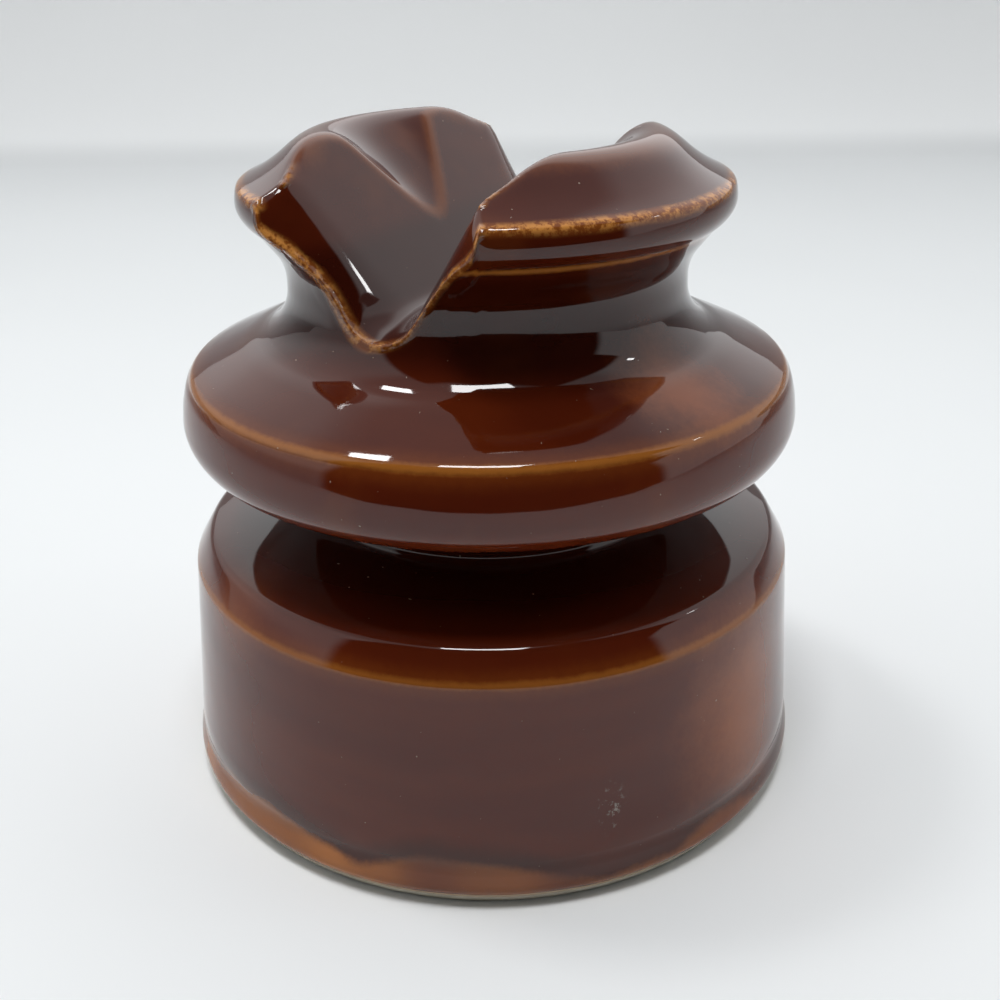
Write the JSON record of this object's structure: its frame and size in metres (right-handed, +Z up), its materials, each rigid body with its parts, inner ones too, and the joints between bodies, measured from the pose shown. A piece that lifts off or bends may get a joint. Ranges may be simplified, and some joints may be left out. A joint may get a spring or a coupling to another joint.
{
  "type": "pin insulator",
  "caption": "Brown glazed porcelain pin insulator with a V wire groove across its crown, a tie groove round the neck, upper and lower skirts and a blind pin hole.",
  "frame": {"origin": "centre of the resting ring, on the pin axis", "axes": "+Z up along the pin axis, Y along the wire groove, -Y towards the front of the picture"},
  "size_m": [0.1152, 0.1152, 0.1137],
  "materials": {
    "brown_glaze": "high gloss"
  },
  "bodies": {
    "root": {"porcelain_body": "brown_glaze"}
  },
  "joints": []
}
